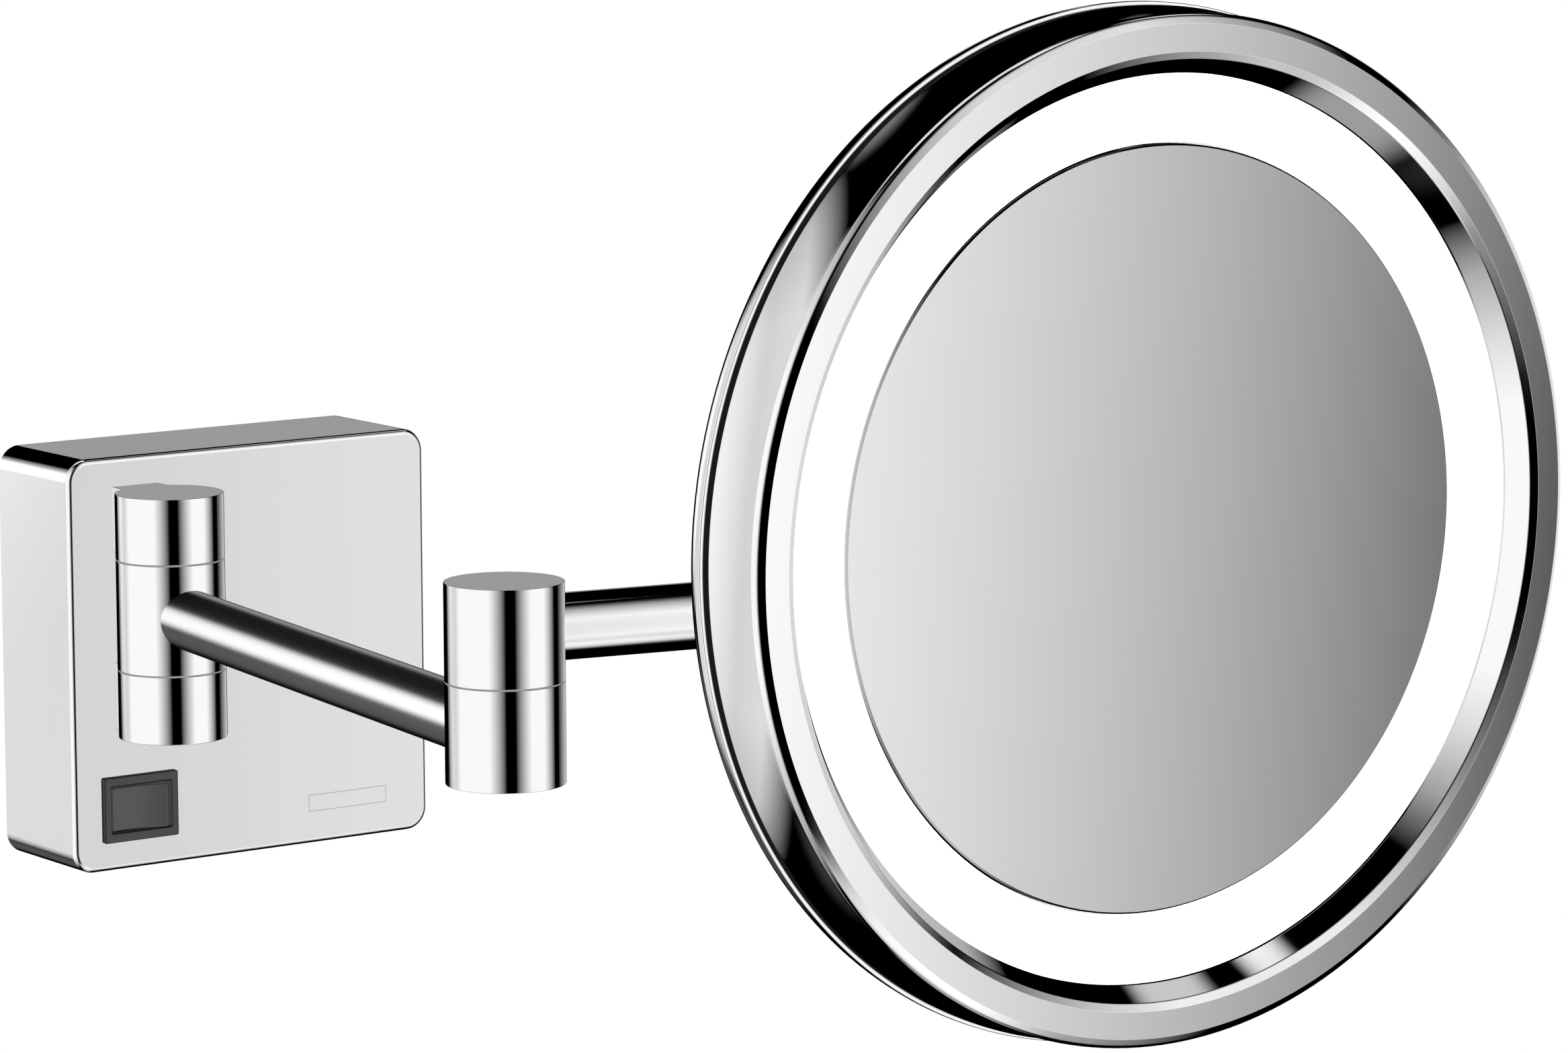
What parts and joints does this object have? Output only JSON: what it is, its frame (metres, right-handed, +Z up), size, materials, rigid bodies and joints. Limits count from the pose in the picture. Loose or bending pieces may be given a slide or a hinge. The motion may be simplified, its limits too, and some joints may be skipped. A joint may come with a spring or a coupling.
{
  "type": "extendable shaving mirror",
  "caption": "Round wall-hung shaving mirror with a light ring round the glass, on two hinged tubular arms from a square plate that has a rocker switch.",
  "frame": {"origin": "centre of the square plate's back, on the wall", "axes": "+Y into the wall, +Z up, +X to the right of someone who faces the wall; the mirror faces -Y"},
  "size_m": [0.2424, 0.3116, 0.224],
  "materials": {
    "chrome_housing": "polished",
    "chrome_joint": "polished",
    "chrome_tube": "polished",
    "steel": "plain",
    "nylon": "plain",
    "black_nylon": "plain",
    "switch_plastic": "satin",
    "rocker_plastic": "satin",
    "terminal_brass": "plain",
    "driver_case": "plain",
    "lead_sheath": "plain",
    "milky_diffuser": "milky, lit from behind",
    "mirror": "silvered glass",
    "foam": "foam",
    "carrier_plastic": "plain",
    "circuit_board": "white solder mask",
    "seal_rubber": "plain"
  },
  "bodies": {
    "wall_mount": {"wall_bracket": "steel", "plate_cover": "chrome_housing", "cover_grub_screw": "steel", "hinge_screw_1": "steel", "hinge_screw_2": "steel", "hinge_screw_3": "steel", "hinge_screw_4": "steel", "hinge_lug_upper": "chrome_joint", "hinge_lug_lower": "chrome_joint", "wall_hinge_pin": "steel", "wall_hinge_plug": "steel", "hinge_washer_upper": "nylon", "hinge_washer_lower": "nylon", "switch_body": "switch_plastic", "switch_terminal_left": "terminal_brass", "switch_terminal_right": "terminal_brass", "led_driver": "driver_case", "terminal_block": "driver_case"},
    "rocker": {"switch_rocker": "rocker_plastic"},
    "inner_arm": {"inner_arm_hub": "chrome_joint", "inner_arm_tube": "chrome_tube", "inner_arm_lead": "lead_sheath", "elbow_lower_hub": "chrome_joint", "elbow_pin": "steel", "elbow_washer": "nylon", "elbow_plug": "steel"},
    "outer_arm": {"elbow_upper_hub": "chrome_joint", "outer_arm_tube": "chrome_tube", "outer_arm_lead": "lead_sheath", "neck_lower_hub": "chrome_joint", "neck_pin": "steel", "neck_washer": "nylon", "neck_plug": "steel"},
    "neck": {"neck_upper_hub": "chrome_joint", "tilt_fork": "chrome_joint", "tilt_pin": "steel", "tilt_washer_left": "black_nylon", "tilt_washer_right": "black_nylon"},
    "head": {"tilt_knuckle": "chrome_joint", "foot_screw_1": "steel", "foot_screw_2": "steel", "foot_screw_3": "steel", "rear_shell": "chrome_housing", "front_bezel": "chrome_housing", "light_diffuser": "milky_diffuser", "mirror_glass": "mirror", "glass_pad": "foam", "mirror_carrier": "carrier_plastic", "led_board": "circuit_board", "seal_ring": "seal_rubber", "head_lead": "lead_sheath"}
  },
  "joints": [
    {"name": "wall_swivel", "type": "hinge", "parent": "wall_mount", "child": "inner_arm", "pos_m": [-0.032, -0.0497, 0.014], "axis": [0, 0, 1], "range_deg": [-80, 60]},
    {"name": "elbow_swivel", "type": "hinge", "parent": "inner_arm", "child": "outer_arm", "pos_m": [-0.05652, -0.22984, 0.0254], "axis": [0, 0, -1], "range_deg": [-60, 90]},
    {"name": "head_swivel", "type": "hinge", "parent": "outer_arm", "child": "neck", "pos_m": [0.06102, -0.25141, 0.0468], "axis": [0, 0, 1], "range_deg": [-20, 90]},
    {"name": "head_tilt", "type": "hinge", "parent": "neck", "child": "head", "pos_m": [0.06102, -0.27261, 0.0556], "axis": [1, 0, 0], "range_deg": [-25, 25]},
    {"name": "rocker_press", "type": "hinge", "parent": "wall_mount", "child": "rocker", "pos_m": [-0.03255, -0.0297, -0.0349], "axis": [0, 0, 1], "range_deg": [0, 14]}
  ]
}
